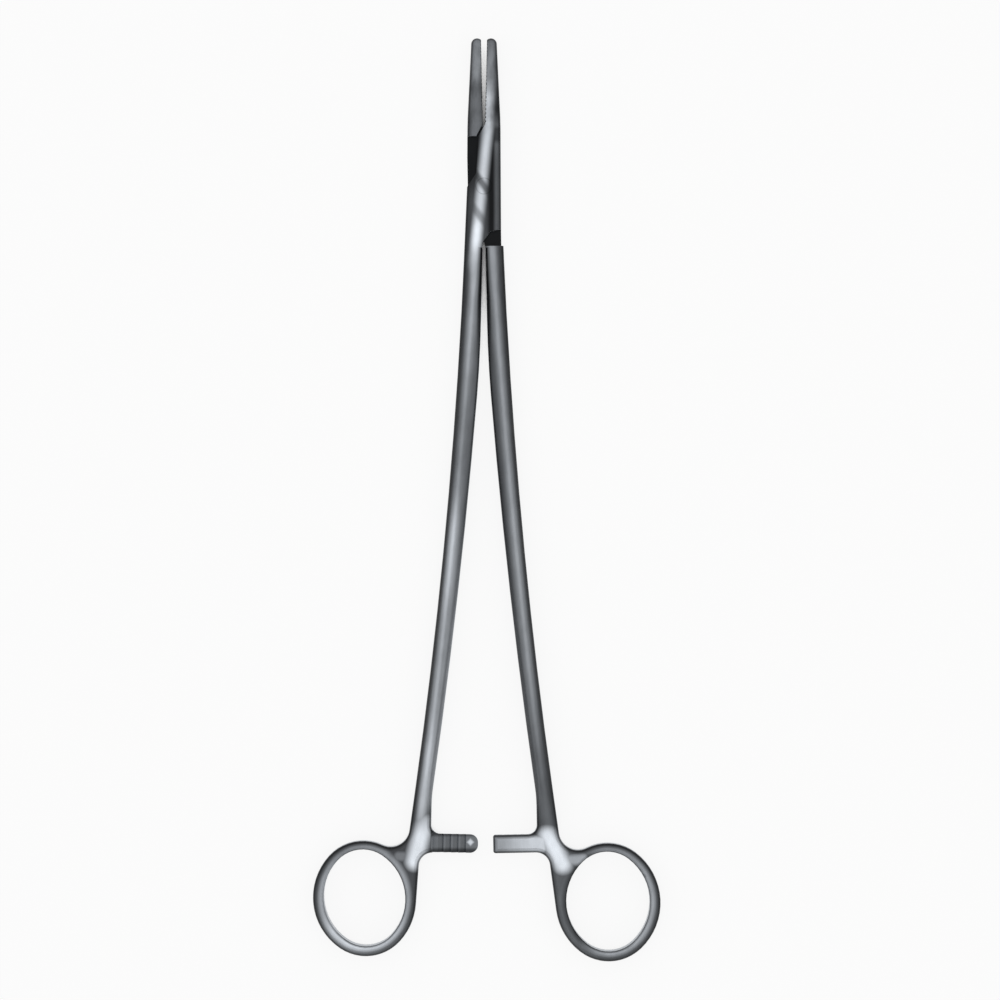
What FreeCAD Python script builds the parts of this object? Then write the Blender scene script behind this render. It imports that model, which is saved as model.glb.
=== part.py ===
import FreeCAD, Part
import math
import os

import Sketcher

# Needle holder: two forged halves crossed in a box lock, with a ratchet and two finger rings.
# It lies flat. +Y runs to the jaw tips and +Z up through the thickness. The origin is on the
# joint axis, on the underside of the box. Each half is drawn closed and then turned about
# the joint axis to where it rests, a little open. Lengths are millimetres, angles degrees.

SIZES = {
    # Joint and rest position
    "rest_open": 2.2,           # angle between the halves as the instrument lies
    "full_open": 40.0,          # angle from closed at which the tongue meets the box webs
    "face_gap": 0.05,           # each jaw face to the closing plane, when closed
    # Box lock
    "box_thick": 6.6,
    "box_head_half": 4.4,       # half width of the box where the jaws begin
    "box_foot_half": 5.35,      # half width of the box where the shanks begin
    "box_head": 18.4,           # joint axis to the jaw end of the box
    "box_foot": 17.6,           # joint axis to the handle end of the box
    "crotch_up": 17.8,          # joint axis to the cheek's tip between the jaws
    "crotch_down": 16.1,        # joint axis to the cheek's corner between the shanks
    "cheek_over": 1.75,         # closing plane to the upper cheek edge at the jaw shoulder
    "cheek_bend_out": 2.3,      # closing plane to the corner lower down that edge
    "cheek_bend_up": 3.6,       # joint axis to that corner
    "cheek_left": -0.3,         # height at which the edge leaves the box side
    "notch_out": 2.1,           # closing plane to the corner of the lower cheek edge
    "notch_down": 12.9,         # joint axis to that corner
    "cheek_right": 12.2,        # depth at which the lower edge leaves the box side
    "jaw_shoulder": 14.4,       # joint axis to the tongue half's shoulder at the jaw
    "shank_shoulder": 17.2,     # joint axis to the tongue half's shoulder at the shank
    "tongue_half": 4.65,        # half width of the tongue at the joint
    "tongue_thick": 2.8,
    "slot_play": 0.05,          # tongue to each cheek
    "web_play": 0.08,           # tongue edge to the box webs
    "cheek_play": 0.15,         # slanting cheek edge to the jaw root
    # Joint pin
    "pin_radius": 1.75,
    "pin_play": 0.03,           # pin to the hole in the tongue
    "pin_head_radius": 2.3,
    "pin_head_deep": 0.6,
    # Jaws
    "jaw_reach": 42.8,          # joint axis to the tips
    "jaw_tip_wide": 2.8,
    "jaw_tip_round": 1.7,
    "jaw_ease": 60.0,           # plan radius between the jaw's outer side and the box
    "jaw_tip_thick": 3.5,
    "serration_start": 22.2,    # joint axis to the first serration
    "serration_pitch": 1.1,     # along the jaw
    "serration_deep": 0.22,
    "serration_angle": 42.0,    # serrations to the jaw's length, both ways
    "needle_groove_long": 11.2,
    "needle_groove_deep": 0.45,
    "needle_groove_half": 0.6,  # half of the groove's widest part
    "needle_groove_at": 32.2,   # joint axis to the middle of the groove
    # Shanks
    "shank_thick": 4.4,
    "shank_gap": 0.12,          # inner side of a closed shank to the closing plane
    "shank_split": 38.0,        # joint axis to where the closed shanks part
    "shank_turn": 20.0,         # joint axis to where the outer side starts to bow
    "yoke_start": 173.0,        # joint axis to the yoke
    "yoke_outer": 16.4,         # outer side of the shank there
    "yoke_inner": 11.35,        # inner side of the shank there
    "split_bend": 350.0,        # radius at which the inner sides turn away from each other
    "split_lean": 3.6,          # angle that they turn by
    "yoke_bend": 40.0,          # radius that straightens the inner side above the bar
    "ramp_long": 20.0,          # slope from the box thickness down to the shank
    "edge_round": 1.5,
    # Ratchet bars
    "bar_upper": 186.2,         # joint axis to the bar's edge towards the jaws
    "bar_lower": 191.5,         # joint axis to the bar's edge towards the rings
    "box_bar_cross": 1.9,       # closed bar of the box half past the closing plane
    "tongue_bar_cross": 1.0,    # closed bar of the tongue half past the closing plane
    "box_bar_round": 2.3,       # plan radius of the bar's end corners
    "tongue_bar_round": 0.7,
    "bar_gap": 0.1,             # tooth tips to tooth tips, through the thickness
    "bar_step": 11.15,          # closing plane to where the bar drops from the yoke
    "tooth_pitch": 2.15,
    "tooth_deep": 0.65,
    "tooth_crest": 0.3,
    "tooth_start": 1.6,         # closing plane to the first tooth
    "bar_upper_fillet": 2.6,
    "bar_lower_fillet": 4.0,
    # Finger rings
    "ring_wall": 3.1,           # ring's width at its sides
    "ring_end_wall": 2.7,       # and at its ends
    "ring_drop": 0.3,           # ring's outside lies this much lower than its hole
    "ring_round": 0.95,         # edge radius round the finger hole
    "ring_fillet": 5.5,         # plan radius between shank and ring
    "ring_neck": 14.8,          # closing plane to the yoke's inner side under the bar
    "box_ring_out": 30.4,       # closing plane to the ring centre
    "box_ring_down": 204.8,     # joint axis to the ring centre
    "box_ring_long": 27.8,      # finger hole, long way
    "box_ring_wide": 23.4,      # finger hole, short way
    "box_ring_lean": 8.0,       # long way leans outward at the top
    "tongue_ring_out": 31.7,
    "tongue_ring_down": 205.9,
    "tongue_ring_long": 28.6,
    "tongue_ring_wide": 24.0,
    "tongue_ring_lean": -2.0,
}
TEETH = 4
SERRATIONS = 17
CLEAR = 9.0  # how far a cut runs past the material

doc = FreeCAD.newDocument("needle_holder")
sheet = doc.addObject("Spreadsheet::Sheet", "Sizes")
for row, (word, number) in enumerate(SIZES.items(), start=1):
    sheet.set(f"A{row}", word)
    sheet.set(f"B{row}", str(number))
    sheet.setAlias(f"B{row}", word)
worked = doc.addObject("App::VarSet", "Worked")
doc.recompute()


class Size:
    """A number together with the sheet expression that gives it."""

    def __init__(self, value, text):
        self.value = float(value)
        self.text = text

    def __add__(self, other):
        other = known(other)
        return Size(self.value + other.value, f"({self.text} + {other.text})")

    def __sub__(self, other):
        other = known(other)
        return Size(self.value - other.value, f"({self.text} - {other.text})")

    def __rsub__(self, other):
        return known(other) - self

    def __mul__(self, other):
        other = known(other)
        return Size(self.value * other.value, f"({self.text} * {other.text})")

    def __truediv__(self, other):
        other = known(other)
        return Size(self.value / other.value, f"({self.text} / {other.text})")

    def __rtruediv__(self, other):
        return known(other) / self

    def __neg__(self):
        return Size(-self.value, f"(-1 * {self.text})")

    __radd__ = __add__
    __rmul__ = __mul__


def known(item):
    """A Size from a Size, a plain number or the name of a sheet value."""
    if isinstance(item, Size):
        return item
    if isinstance(item, str):
        return Size(sheet.get(item), f"Sizes.{item}")
    return Size(item, f"({float(item)})")


def degrees(name):
    """A sheet value as an angle."""
    return Size(sheet.get(name), f"(Sizes.{name} * 1 deg)")


def sine(angle):
    return Size(math.sin(math.radians(angle.value)), f"sin({angle.text})")


def cosine(angle):
    return Size(math.cos(math.radians(angle.value)), f"cos({angle.text})")


def arcsine(ratio):
    return Size(math.degrees(math.asin(ratio.value)), f"asin({ratio.text})")


def arctangent(ratio):
    return Size(math.degrees(math.atan(ratio.value)), f"atan({ratio.text})")


def root(number):
    return Size(math.sqrt(number.value), f"sqrt({number.text})")


def smaller(one, other):
    return Size(min(one.value, other.value), f"min({one.text}; {other.text})")


def hypotenuse(across, along):
    return root(across * across + along * along)


def keep(name, length):
    """Store a worked-out length under a name, so that expressions built on it stay short."""
    worked.addProperty("App::PropertyFloat", name, "Worked", "")
    worked.setExpression(name, length.text)
    return Size(length.value, f"Worked.{name}")


def keep_point(name, point):
    return keep(f"{name}_u", known(point[0])), keep(f"{name}_y", known(point[1]))


class Arc:
    """A curved step of an outline: bulge is 1 when it swells to the left of travel, or -1."""

    def __init__(self, end, radius, bulge):
        self.end = end
        self.radius = radius
        self.bulge = bulge


def origin_plane(body, role):
    return next(item for item in body.Origin.OriginFeatures if item.Role == role)


def new_sketch(body, name, role="XY_Plane", height=None):
    """A sketch on one of the body's own planes, moved along its normal by height."""
    sketch = body.newObject("Sketcher::SketchObject", name)
    sketch.AttachmentSupport = (origin_plane(body, role), "")
    sketch.MapMode = "FlatFace"
    if height is not None:
        sketch.setExpression("AttachmentOffset.Base.z", height.text)
    return sketch


def bind(sketch, kind, geometry, position, size):
    """Fix one coordinate of a sketch point to the sheet."""
    index = sketch.addConstraint(Sketcher.Constraint(kind, -1, 1, geometry, position, size.value))
    sketch.setExpression(f"Constraints[{index}]", size.text)


def plan_vector(point):
    return FreeCAD.Vector(point[0].value, point[1].value, 0)


def draw_loop(sketch, start, steps):
    """Draw a closed outline of straight and arc steps, each corner bound to the sheet."""
    corners = [start] + [step.end if isinstance(step, Arc) else step for step in steps]
    first = None
    for number, step in enumerate(steps):
        begin = plan_vector(corners[number])
        end = plan_vector(corners[number + 1])
        if isinstance(step, Arc):
            chord = end - begin
            radius = step.radius.value
            rise = radius - math.sqrt(radius * radius - chord.Length ** 2 / 4)
            side = FreeCAD.Vector(-chord.y, chord.x, 0).normalize() * (rise * step.bulge)
            curve = Part.Arc(begin, (begin + end) * 0.5 + side, end)
            geometry = sketch.addGeometry(curve.copy())
            counterclockwise = step.bulge < 0
            head, tail = (1, 2) if counterclockwise else (2, 1)
            index = sketch.addConstraint(Sketcher.Constraint("Radius", geometry, radius))
            sketch.setExpression(f"Constraints[{index}]", step.radius.text)
        else:
            geometry = sketch.addGeometry(Part.LineSegment(begin, end))
            head, tail = 1, 2
        if first is None:
            first = (geometry, head)
        else:
            sketch.addConstraint(Sketcher.Constraint("Coincident", last[0], last[1], geometry, head))
        bind(sketch, "DistanceX", geometry, head, corners[number][0])
        bind(sketch, "DistanceY", geometry, head, corners[number][1])
        last = (geometry, tail)
    sketch.addConstraint(Sketcher.Constraint("Coincident", last[0], last[1], first[0], first[1]))


def revolve(body, name, kind, points):
    """Turn a profile given as (radius, height) round the joint axis, as metal or as a cut."""
    sketch = new_sketch(body, f"{name}_profile", "XZ_Plane")
    corners = [(known(out), known(up)) for out, up in points]
    draw_loop(sketch, corners[0], corners[1:] + corners[:1])
    feature = body.newObject(f"PartDesign::{kind}", name)
    feature.Profile = sketch
    feature.ReferenceAxis = (sketch, ["V_Axis"])
    feature.Angle = 360
    doc.recompute()


def draw_circle(sketch, radius):
    circle = sketch.addGeometry(Part.Circle(FreeCAD.Vector(), FreeCAD.Vector(0, 0, 1), radius.value))
    sketch.addConstraint(Sketcher.Constraint("Coincident", circle, 3, -1, 1))
    index = sketch.addConstraint(Sketcher.Constraint("Radius", circle, radius.value))
    sketch.setExpression(f"Constraints[{index}]", radius.text)


def pad(body, name, sketch, length):
    feature = body.newObject("PartDesign::Pad", name)
    feature.Profile = sketch
    feature.setExpression("Length", length.text)
    doc.recompute()
    return feature


def pocket(body, name, sketch, length=None, reverse=False):
    """Cut a sketch's outline away, to a depth or through everything both ways."""
    before = body.Shape.Volume
    feature = body.newObject("PartDesign::Pocket", name)
    feature.Profile = sketch
    if length is None:
        feature.Type = "ThroughAll"
        feature.Midplane = True
    else:
        feature.setExpression("Length", length.text)
        feature.Reversed = reverse
    doc.recompute()
    if not body.Shape.Volume < before:
        raise RuntimeError(f"{name} removes nothing")
    return feature


def repeat(body, name, feature, role, spacing, count, reverse=False):
    """Repeat a cut along one of the body's axes."""
    pattern = body.newObject("PartDesign::LinearPattern", name)
    pattern.Originals = [feature]
    pattern.Direction = (origin_plane(body, role), [""])
    pattern.Reversed = reverse
    pattern.setExpression("Length", (spacing * (count - 1)).text)
    pattern.Occurrences = count
    body.Tip = pattern
    doc.recompute()
    return pattern


def round_edges(body, name, wanted, radius):
    """Round every edge of the body that wanted accepts."""
    source = body.Tip
    names = [f"Edge{number}" for number, edge in enumerate(source.Shape.Edges, start=1) if wanted(edge)]
    feature = body.newObject("PartDesign::Fillet", name)
    feature.Base = (source, names)
    feature.setExpression("Radius", radius.text)
    doc.recompute()
    if "Invalid" in feature.State:
        raise RuntimeError(f"{name} failed on {len(names)} edges: {feature.getStatusString()}")
    return feature


def middle(edge):
    first, last = edge.ParameterRange
    return edge.valueAt((first + last) / 2)


def is_upright(edge):
    return edge.BoundBox.XLength < 0.01 and edge.BoundBox.YLength < 0.01


def round_corner(body, name, point, radius):
    """Round the upright edge that stands nearest to a plan point."""
    def distance(edge):
        return math.hypot(middle(edge).x - point[0].value, middle(edge).y - point[1].value)

    nearest = min(filter(is_upright, body.Tip.Shape.Edges), key=distance)
    round_edges(body, name, nearest.isSame, radius)


# Values that both halves share
half_thick = known("box_thick") / 2
shank_low = half_thick - known("shank_thick") / 2
shank_high = half_thick + known("shank_thick") / 2
lip = known("face_gap")
gap = known("shank_gap")

def turned(point, angle, length):
    """The point that lies length away, down from the jaws and leaning outward by angle."""
    return (point[0] + length * sine(angle), point[1] - length * cosine(angle))


def ease(before, corner, after, radius, bulge):
    """The start and the arc that ease a corner between two straight runs."""
    along = [known(corner[axis]) - before[axis] for axis in (0, 1)]
    onward = [known(after[axis]) - corner[axis] for axis in (0, 1)]
    along_long = hypotenuse(*along)
    onward_long = hypotenuse(*onward)
    straight = (along[0] * onward[0] + along[1] * onward[1]) / (along_long * onward_long)
    reach = radius * root((1 - straight) / (1 + straight))
    start = tuple(known(corner[axis]) - along[axis] * reach / along_long for axis in (0, 1))
    end = tuple(known(corner[axis]) + onward[axis] * reach / onward_long for axis in (0, 1))
    return start, Arc(end, radius, bulge)


def tangent_arc(start, lean, end):
    """The radius of the arc that leaves start at an angle and reaches end, and its angle there."""
    across = known(end[0]) - start[0]
    down = known(start[1]) - end[1]
    chord = hypotenuse(across, down)
    chord_lean = arctangent(across / down)
    return chord / (2 * sine(chord_lean - lean)), 2 * chord_lean - lean


# The jaw's outer side runs straight from its root to the tip, where an arc closes it
jaw_lean = arctangent((known("box_head_half") - known("jaw_tip_wide"))
                      / (known("jaw_reach") - known("box_head")))
tip_round = known("jaw_tip_round")
tip_centre_y = known("jaw_reach") - tip_round
tip_centre_u = known("jaw_tip_wide") + tip_round * (sine(jaw_lean) - 1) / cosine(jaw_lean)
tip_outer = (-tip_centre_u - tip_round * cosine(jaw_lean), tip_centre_y + tip_round * sine(jaw_lean))
tip_inner = (-lip, tip_centre_y + root(tip_round * tip_round - (tip_centre_u - lip) * (tip_centre_u - lip)))

# The box widens a little towards the handles, and the shank's outer side leaves it smoothly
head_corner = (known("box_head_half"), known("box_head"))
turn_point = (known("box_foot_half"), -known("shank_turn"))
box_lean = arctangent((turn_point[0] - head_corner[0]) / (head_corner[1] - turn_point[1]))
outer_yoke = (known("yoke_outer"), -known("yoke_start"))
outer_radius, outer_lean = tangent_arc(turn_point, box_lean, outer_yoke)

# The inner sides touch near the box, turn away from each other and straighten at the yoke
split_point = (gap, -known("shank_split"))
split_lean = degrees("split_lean")
spread_point = (gap + known("split_bend") * (1 - cosine(split_lean)),
                -known("shank_split") - known("split_bend") * sine(split_lean))
inner_yoke = (known("yoke_inner"), -known("yoke_start"))
inner_radius, inner_lean = tangent_arc(spread_point, split_lean, inner_yoke)
yoke_point = (known("yoke_inner") + known("yoke_bend") * (1 - cosine(inner_lean)),
              -known("yoke_start") - known("yoke_bend") * sine(inner_lean))


# The sides of the box, and the eased start of the box below the jaw's outer side
box_spread = sine(box_lean) / cosine(box_lean)
foot_corner = (known("box_head_half") + (known("box_head") + known("box_foot")) * box_spread,
               -known("box_foot"))
jaw_start, jaw_arc = ease(tip_outer, (-head_corner[0], head_corner[1]),
                          (-foot_corner[0], foot_corner[1]), known("jaw_ease"), 1)

# The upper cheek edge beside the jaw and the tongue, and the lower one beside the shank
crotch_slope = (lip + known("cheek_over")) / (known("crotch_up") - known("jaw_shoulder"))
left_side = known("box_head_half") + (known("box_head") - known("cheek_left")) * box_spread
upper_slope = ((known("cheek_bend_up") - known("cheek_left"))
               / (left_side - known("cheek_bend_out")))
right_side = known("box_head_half") + (known("box_head") + known("cheek_right")) * box_spread
lower_slope = ((known("notch_down") - known("cheek_right"))
               / (right_side - known("notch_out")))


def flank(shoulder, inset, radius):
    """The angle of the line that runs from a shoulder point to touch a circle about the joint.

    The shoulder point lies shoulder away along Y and inset beyond the closing plane.
    """
    return (arcsine(radius / hypotenuse(inset, shoulder))
            - arctangent(inset / shoulder))


class Oval:
    """A four-arc oval whose long way leans outward at the top."""

    def __init__(self, name, centre, half_long, half_wide, lean):
        end_radius = half_wide - (half_long - half_wide) * 0.85
        rise = half_long - end_radius
        side_radius = ((half_wide * half_wide + rise * rise - end_radius * end_radius)
                       / (2 * (half_wide - end_radius)))
        inset = side_radius - half_wide
        self.centre = keep_point(f"{name}_centre", centre)
        self.lean = lean
        self.end_radius = keep(f"{name}_end_radius", end_radius)
        self.side_radius = keep(f"{name}_side_radius", side_radius)
        self.across = keep(f"{name}_across", inset * end_radius / (side_radius - end_radius))
        self.along = keep(f"{name}_along", rise * side_radius / (side_radius - end_radius))
        self.top_centre = keep_point(f"{name}_top", self.placed(0, rise))
        self.inner_centre = keep_point(f"{name}_inner", self.placed(inset, 0))

    def placed(self, x, y):
        """A point of the upright oval, leant over and moved to the centre."""
        return (self.centre[0] + x * cosine(self.lean) + y * sine(self.lean),
                self.centre[1] - x * sine(self.lean) + y * cosine(self.lean))

    def around(self):
        """The steps that follow its inner side down, its foot and its outer side up."""
        return [
            Arc(self.placed(-self.across, -self.along), self.side_radius, -1),
            Arc(self.placed(self.across, -self.along), self.end_radius, -1),
            Arc(self.placed(self.across, self.along), self.side_radius, -1),
        ]


def on_circle(radius, angle):
    return (radius * cosine(angle), radius * sine(angle))


class Half:
    """One forged half: jaw, box lock part, shank, ratchet bar and finger ring.

    Points are given as (u, y), where u is positive towards the half's own shank, so the two
    halves share their outlines: hand is -1 for the half with its shank on -X and +1 for the
    other.
    """

    def __init__(self, label, kind, hand):
        self.kind = kind
        self.hand = hand
        self.body = doc.addObject("PartDesign::Body", label)
        self.body.Label = label

    def own(self, name):
        return known(f"{self.kind}_{name}")

    def at(self, u, y):
        return (known(u) * self.hand, known(y))

    def path(self, *steps):
        placed = []
        for step in steps:
            if isinstance(step, Arc):
                placed.append(Arc(self.at(*step.end), step.radius, step.bulge * self.hand))
            else:
                placed.append(self.at(*step))
        return placed

    def cut(self, name, steps, length=None, height=None, reverse=False):
        """Pocket a closed outline given in (u, y)."""
        sketch = new_sketch(self.body, f"{name}_outline", height=height)
        points = self.path(*steps)
        draw_loop(sketch, points[0], points[1:] + points[:1])
        return pocket(self.body, name, sketch, length, reverse)

    def draw_blank(self):
        """Pad the plan outline, with the middle as wide as the box and the ring filled in."""
        cross = self.own("bar_cross")
        out, down = self.own("ring_out"), -self.own("ring_down")
        lean = degrees(f"{self.kind}_ring_lean")
        half_long, half_wide = self.own("ring_long") / 2, self.own("ring_wide") / 2
        self.hole = Oval(f"{self.kind}_hole", (out, down), half_long, half_wide, lean)
        ring = Oval(f"{self.kind}_ring", (out, down - known("ring_drop")),
                    half_long + known("ring_end_wall"), half_wide + known("ring_wall"), lean)
        neck = keep_point(f"{self.kind}_neck", self.neck_end(ring))
        shank_end, ring_start = self.ring_blend(ring)
        start = self.at(-lip, known("box_head"))
        steps = self.path(
            tip_inner,
            Arc(tip_outer, tip_round, -1),
            jaw_start,
            jaw_arc,
            (-foot_corner[0], foot_corner[1]),
            (gap, foot_corner[1]),
            split_point,
            Arc(spread_point, known("split_bend"), -1),
            Arc(inner_yoke, inner_radius, -1),
            Arc(yoke_point, known("yoke_bend"), 1),
            (yoke_point[0], -known("bar_upper")),
            (-cross, -known("bar_upper")),
            (-cross, -known("bar_lower")),
            (known("ring_neck"), -known("bar_lower")),
            neck,
            *ring.around(),
            Arc(ring_start, ring.end_radius, -1),
            Arc(shank_end, known("ring_fillet"), 1),
            outer_yoke,
            Arc(turn_point, outer_radius, 1),
            head_corner,
            (-lip, known("box_head")),
        )
        sketch = new_sketch(self.body, "plan_outline")
        draw_loop(sketch, start, steps)
        pad(self.body, "forged_blank", sketch, known("box_thick"))

    def neck_end(self, ring):
        """Where the straight neck under the bar touches the ring's inner side."""
        across = known("ring_neck") - ring.inner_centre[0]
        along = -known("bar_lower") - ring.inner_centre[1]
        reach = across * across + along * along
        inward = ring.side_radius * ring.side_radius / reach
        sideways = ring.side_radius * root(reach - ring.side_radius * ring.side_radius) / reach
        return (ring.inner_centre[0] + across * inward - along * sideways,
                ring.inner_centre[1] + along * inward + across * sideways)

    def ring_blend(self, ring):
        """Where the blend between shank and ring touches the shank and the ring's top arc."""
        radius = known("ring_fillet")
        away = (outer_yoke[0] + radius * cosine(outer_lean) - ring.top_centre[0],
                outer_yoke[1] + radius * sine(outer_lean) - ring.top_centre[1])
        down = (sine(outer_lean), -cosine(outer_lean))
        along = keep(f"{self.kind}_blend_along", away[0] * down[0] + away[1] * down[1])
        reach = ring.end_radius + radius
        spare = along * along - away[0] * away[0] - away[1] * away[1] + reach * reach
        run = keep(f"{self.kind}_blend_run", -along - root(spare))
        touch = tuple(ring.top_centre[axis] + (away[axis] + down[axis] * run) * ring.end_radius / reach
                      for axis in (0, 1))
        return (keep_point(f"{self.kind}_shank_end", turned(outer_yoke, outer_lean, run)),
                keep_point(f"{self.kind}_ring_start", touch))

    def finish_ring(self):
        """Round the corners in plan and cut the finger hole."""
        corners = (
            ("bar_upper_blend", yoke_point[0], -known("bar_upper"), "bar_upper_fillet"),
            ("bar_lower_blend", known("ring_neck"), -known("bar_lower"), "bar_lower_fillet"),
            ("bar_upper_end", -self.own("bar_cross"), -known("bar_upper"), f"{self.kind}_bar_round"),
            ("bar_lower_end", -self.own("bar_cross"), -known("bar_lower"), f"{self.kind}_bar_round"),
        )
        for name, u, y, radius in corners:
            round_corner(self.body, name, self.at(u, y), known(radius))
        sketch = new_sketch(self.body, "finger_hole_outline")
        outline = self.path(self.hole.placed(-self.hole.across, self.hole.along), *self.hole.around(),
                            Arc(self.hole.placed(-self.hole.across, self.hole.along),
                                self.hole.end_radius, -1))
        draw_loop(sketch, outline[0], outline[1:])
        pocket(self.body, "finger_hole", sketch)

    def shape_sides(self):
        """Slope the top and bottom from the box to the jaw tip and down to the shank."""
        outside = known("box_thick") + 5
        far = -known("box_ring_down") - 40
        tip_rise = known("jaw_tip_thick") / 2
        slope = (half_thick - tip_rise) / (known("jaw_reach") - known("box_head"))
        beyond = known("jaw_reach") + 5
        drop = half_thick - known("shank_thick") / 2
        run = known("ramp_long")
        ramp_radius = (run * run + drop * drop) / (2 * drop)
        for side, sign in (("upper", 1), ("lower", -1)):
            def level(height):
                return half_thick + height * sign
            jaw = new_sketch(self.body, f"jaw_{side}_slope", "YZ_Plane")
            draw_loop(jaw, (known("box_head"), level(half_thick)), [
                (beyond, level(half_thick - slope * (beyond - known("box_head")))),
                (beyond, level(outside)),
                (known("box_head"), level(outside)),
                (known("box_head"), level(half_thick)),
            ])
            pocket(self.body, f"jaw_{side}_taper", jaw)
            shank = new_sketch(self.body, f"shank_{side}_slope", "YZ_Plane")
            draw_loop(shank, (-known("box_foot"), level(half_thick)), [
                Arc((-known("box_foot") - run, level(half_thick - drop)), ramp_radius, -sign),
                (far, level(half_thick - drop)),
                (far, level(outside)),
                (-known("box_foot"), level(outside)),
                (-known("box_foot"), level(half_thick)),
            ])
            pocket(self.body, f"shank_{side}_taper", shank)

    def round_outline(self):
        """Round the long edges all round the half, but not the jaw face or the box ends."""
        hole_centre = FreeCAD.Vector(self.own("ring_out").value * self.hand, -self.own("ring_down").value, 0)
        hole_turn = FreeCAD.Rotation(FreeCAD.Vector(0, 0, 1), self.own("ring_lean").value * self.hand)
        hole_wide = (self.own("ring_wide") / 2 + known("ring_wall") / 2).value
        hole_long = (self.own("ring_long") / 2 + known("ring_wall") / 2).value
        face = lip.value * 1.5
        box_ends = (known("box_head").value, -known("box_foot").value)

        def along_side(edge):
            box = edge.BoundBox
            spot = middle(edge)
            level = box.ZLength < 0.01 and 0.01 < abs(spot.z - half_thick.value)
            if is_upright(edge) or (level and box.YLength < 0.01 and spot.y > box_ends[1] - 1):
                return False
            if spot.y > 0 and abs(spot.x) <= face:
                return False
            crosswise = box.YLength < 0.01 and spot.y > -known("bar_upper").value + 1
            return not crosswise

        def round_hole(edge):
            spot = hole_turn.multVec(middle(edge) - hole_centre)
            return (spot.x / hole_wide) ** 2 + (spot.y / hole_long) ** 2 < 1

        around = smaller(known("edge_round"), known("shank_thick") * 0.42)
        thin = known("ring_end_wall") - known("ring_drop")
        inside = smaller(known("ring_round"), thin - around - 0.05)
        round_edges(self.body, "finger_hole_round", round_hole, inside)
        round_edges(self.body, "outline_round",
                    lambda edge: along_side(edge) and not round_hole(edge), around)

    def cut_bar(self):
        """Thin the bar to one half of the thickness and cut its ratchet teeth."""
        root_face = half_thick - known("bar_gap") / 2 * (-self.hand)
        beyond = -known("bar_lower") - CLEAR
        above = -known("bar_upper") + CLEAR / 2
        step = known("bar_step")
        self.cut("bar_face", [(-CLEAR, above), (step, above), (step, beyond), (-CLEAR, beyond)],
                 known("box_thick"), root_face + known("bar_gap") * self.hand, reverse=self.hand < 0)
        start = known("tooth_start")
        end = start + known("tooth_pitch") - known("tooth_crest")
        face = half_thick + known("bar_gap") / 2 * self.hand
        valley = face + known("tooth_deep") * self.hand
        open_side = face - self.hand
        sketch = new_sketch(self.body, "tooth_profile", "XZ_Plane", known("bar_upper") - CLEAR / 2)
        corners = self.path((start, valley), (end, face), (end, open_side), (start, open_side))
        draw_loop(sketch, corners[0], corners[1:] + corners[:1])
        tooth = pocket(self.body, "ratchet_tooth", sketch, known("bar_lower"), reverse=True)
        repeat(self.body, "ratchet_teeth", tooth, "X_Axis", known("tooth_pitch"), TEETH, self.hand < 0)

    def cut_jaw_face(self):
        """Cross-cut the jaw face, then cut the needle groove along its middle."""
        angle = degrees("serration_angle")
        deep = known("serration_deep")
        half_wide = known("serration_pitch") * sine(angle) * 0.36 * (lip + deep) / deep
        for side, sign in (("rising", 1), ("falling", -1)):
            sketch = new_sketch(self.body, f"{side}_serration_profile", "XZ_Plane",
                                -known("serration_start"))
            sketch.AttachmentOffset = FreeCAD.Placement(
                sketch.AttachmentOffset.Base, FreeCAD.Rotation(FreeCAD.Vector(sign, 0, 0), angle.value))
            sketch.setExpression("AttachmentOffset.Base.y", half_thick.text)
            sketch.setExpression("AttachmentOffset.Rotation.Angle", angle.text)
            corners = self.path((-lip - deep, 0), (0, half_wide), (0, -half_wide))
            draw_loop(sketch, corners[0], corners[1:] + corners[:1])
            groove = pocket(self.body, f"{side}_serration", sketch)
            repeat(self.body, f"{side}_serrations", groove, "Y_Axis", known("serration_pitch"), SERRATIONS)
        half_long = known("needle_groove_long") / 2
        half_high = known("needle_groove_half")
        side_radius = (half_long * half_long + half_high * half_high) / (2 * half_high)
        near = (known("needle_groove_at") - half_long, half_thick)
        far = (known("needle_groove_at") + half_long, half_thick)
        sketch = new_sketch(self.body, "needle_groove_outline", "YZ_Plane")
        draw_loop(sketch, near, [Arc(far, side_radius, 1), Arc(near, side_radius, 1)])
        pocket(self.body, "needle_groove", sketch, lip + known("needle_groove_deep"), self.hand < 0)

    def settle(self):
        """Turn the half about the joint axis to where it rests."""
        self.body.Placement = FreeCAD.Placement(
            FreeCAD.Vector(), FreeCAD.Rotation(FreeCAD.Vector(0, 0, self.hand), 1))
        self.body.setExpression("Placement.Rotation.Angle", (degrees("rest_open") / 2).text)
        doc.recompute()


def web_corner(shoulder, inset):
    """Corner and far end of the box web, from the joint axis, for one end of the slot."""
    radius = known("tongue_half") + known("web_play")
    stop = degrees("full_open")
    lean = flank(shoulder, inset, radius)
    corner = on_circle(radius / cosine((stop - lean) / 2), (stop + lean) / 2)
    far_along = (radius - CLEAR * cosine(stop)) / sine(stop)
    return corner, (known(CLEAR), far_along)


def forge_common(half):
    half.draw_blank()
    half.finish_ring()
    half.shape_sides()
    half.round_outline()


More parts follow.
